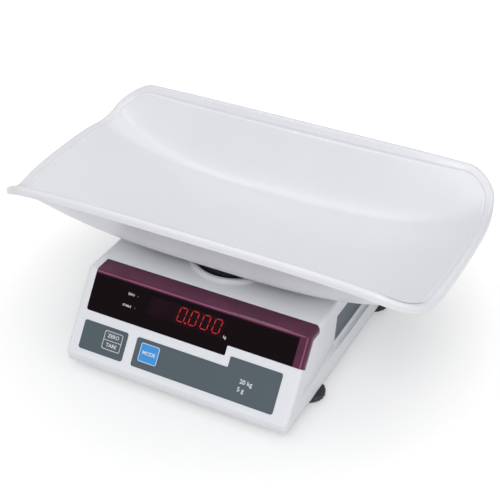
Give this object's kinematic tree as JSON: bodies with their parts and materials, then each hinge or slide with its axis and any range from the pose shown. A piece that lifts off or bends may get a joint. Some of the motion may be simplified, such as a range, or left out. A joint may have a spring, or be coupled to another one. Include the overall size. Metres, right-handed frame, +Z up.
{
  "type": "baby weighing scale",
  "caption": "Digital baby scale: a long moulded cradle pan lifts off rubber cushions on a sprung platform; a white body with a sloping tinted display, two keys and four screw feet carries it.",
  "frame": {"origin": "Centre of the assembly's bounding box seen from above, on the floor under the feet (z = 0).", "axes": "+X is to the scale's right along the pan's length, +Y is towards the rear, away from the keys, +Z is up."},
  "size_m": [0.5588, 0.3474, 0.2104],
  "materials": {
    "housing_white": "satin moulded ABS, cool white",
    "pan_white": "smooth glossy moulded ABS, white",
    "tray_white": "fine-textured moulded ABS",
    "slate_film": "printed slate-grey film and panel",
    "blue_key": "printed bright-blue key",
    "tinted_acrylic": "dark purple tinted acrylic, backed black",
    "black_plastic": "black moulded nylon",
    "rubber": "black rubber",
    "load_cell_alu": "milled aluminium",
    "plated_steel": "zinc-plated steel",
    "grey_steel": "grey powder-coated steel",
    "brass": "turned brass",
    "board_green": "green solder mask",
    "led_red": "red light-emitting segments",
    "battery_grey": "grey battery case",
    "rocker_red": "red rocker",
    "vial_green": "clear acrylic with yellow-green liquid"
  },
  "bodies": {
    "chassis": {"base_tray": "tray_white", "top_housing": "housing_white", "side_panel_left": "slate_film", "side_panel_right": "slate_film", "display_window": "tinted_acrylic", "left_key_overlay": "slate_film", "right_key_overlay": "slate_film", "tact_switches": "black_plastic", "key_board": "board_green", "display_board": "board_green", "led_digits": "led_red", "indicator_leds": "led_red", "main_board": "board_green", "board_components": "black_plastic", "load_cell": "load_cell_alu", "cell_spacer": "plated_steel", "cell_bolts": "plated_steel", "overload_stops": "plated_steel", "battery": "battery_grey", "battery_clamp": "plated_steel", "transformer": "grey_steel", "power_inlet": "black_plastic", "switch_frame": "black_plastic", "level_vial": "vial_green", "foot_inserts": "brass", "housing_screws": "plated_steel"},
    "platform": {"platform_bracket": "grey_steel", "bracket_bolts": "plated_steel", "load_hub": "black_plastic", "pan_spider": "black_plastic", "spider_screws": "plated_steel", "pan_cushions": "rubber"},
    "pan_body": {"pan": "pan_white"},
    "zero_key_body": {"zero_tare_key": "slate_film", "zero_tare_plunger": "black_plastic"},
    "mode_key_body": {"mode_key": "blue_key", "mode_plunger": "black_plastic"},
    "battery_door_body": {"battery_door": "tray_white"},
    "rocker_body": {"power_rocker": "rocker_red"},
    "pad_body_fl": {"foot_pad_fl": "rubber"},
    "wheel_body_fl": {"foot_wheel_fl": "black_plastic"},
    "pad_body_fr": {"foot_pad_fr": "rubber"},
    "wheel_body_fr": {"foot_wheel_fr": "black_plastic"},
    "pad_body_rl": {"foot_pad_rl": "rubber"},
    "wheel_body_rl": {"foot_wheel_rl": "black_plastic"},
    "pad_body_rr": {"foot_pad_rr": "rubber"},
    "wheel_body_rr": {"foot_wheel_rr": "black_plastic"}
  },
  "joints": [
    {"name": "platform_deflection", "type": "slide", "parent": "chassis", "child": "platform", "axis": [0, 0, -1], "range_m": [0, 0.0006], "stiffness_N_per_m": 60000, "springref_m": -0.0006, "deforming": ["load_cell"]},
    {"name": "pan_lift", "type": "slide", "parent": "platform", "child": "pan_body", "axis": [0, 0, 1], "range_m": [0, 0.1]},
    {"name": "zero_tare_press", "type": "slide", "parent": "chassis", "child": "zero_key_body", "axis": [0, 0.8151, -0.5793], "range_m": [0, 0.0004], "stiffness_N_per_m": 900, "springref_m": -0.0008},
    {"name": "mode_press", "type": "slide", "parent": "chassis", "child": "mode_key_body", "axis": [0, 0.8151, -0.5793], "range_m": [0, 0.0004], "stiffness_N_per_m": 900, "springref_m": -0.0008},
    {"name": "battery_door_slide", "type": "slide", "parent": "chassis", "child": "battery_door_body", "axis": [1, 0, 0], "range_m": [0, 0.035]},
    {"name": "power_rocker_tilt", "type": "hinge", "parent": "chassis", "child": "rocker_body", "pos_m": [0.05, 0.1358, 0.058], "axis": [-1, 0, 0], "range_deg": [0, 16]},
    {"name": "foot_extend_fl", "type": "slide", "parent": "chassis", "child": "pad_body_fl", "axis": [0, 0, -1], "range_m": [0, 0.008]},
    {"name": "foot_turn_fl", "type": "hinge", "parent": "pad_body_fl", "child": "wheel_body_fl", "pos_m": [-0.137, -0.0862, 0.007], "axis": [0, 0, -1], "range_deg": [0, 2310]},
    {"name": "foot_extend_fr", "type": "slide", "parent": "chassis", "child": "pad_body_fr", "axis": [0, 0, -1], "range_m": [0, 0.008]},
    {"name": "foot_turn_fr", "type": "hinge", "parent": "pad_body_fr", "child": "wheel_body_fr", "pos_m": [0.137, -0.0862, 0.007], "axis": [0, 0, -1], "range_deg": [0, 2310]},
    {"name": "foot_extend_rl", "type": "slide", "parent": "chassis", "child": "pad_body_rl", "axis": [0, 0, -1], "range_m": [0, 0.008]},
    {"name": "foot_turn_rl", "type": "hinge", "parent": "pad_body_rl", "child": "wheel_body_rl", "pos_m": [-0.137, 0.1118, 0.007], "axis": [0, 0, -1], "range_deg": [0, 2310]},
    {"name": "foot_extend_rr", "type": "slide", "parent": "chassis", "child": "pad_body_rr", "axis": [0, 0, -1], "range_m": [0, 0.008]},
    {"name": "foot_turn_rr", "type": "hinge", "parent": "pad_body_rr", "child": "wheel_body_rr", "pos_m": [0.137, 0.1118, 0.007], "axis": [0, 0, -1], "range_deg": [0, 2310]}
  ],
  "couplings": [
    {"joint": "foot_turn_fl", "follows": "foot_extend_fl", "rad_per_m": 5026.5},
    {"joint": "foot_turn_fr", "follows": "foot_extend_fr", "rad_per_m": 5026.5},
    {"joint": "foot_turn_rl", "follows": "foot_extend_rl", "rad_per_m": 5026.5},
    {"joint": "foot_turn_rr", "follows": "foot_extend_rr", "rad_per_m": 5026.5}
  ]
}
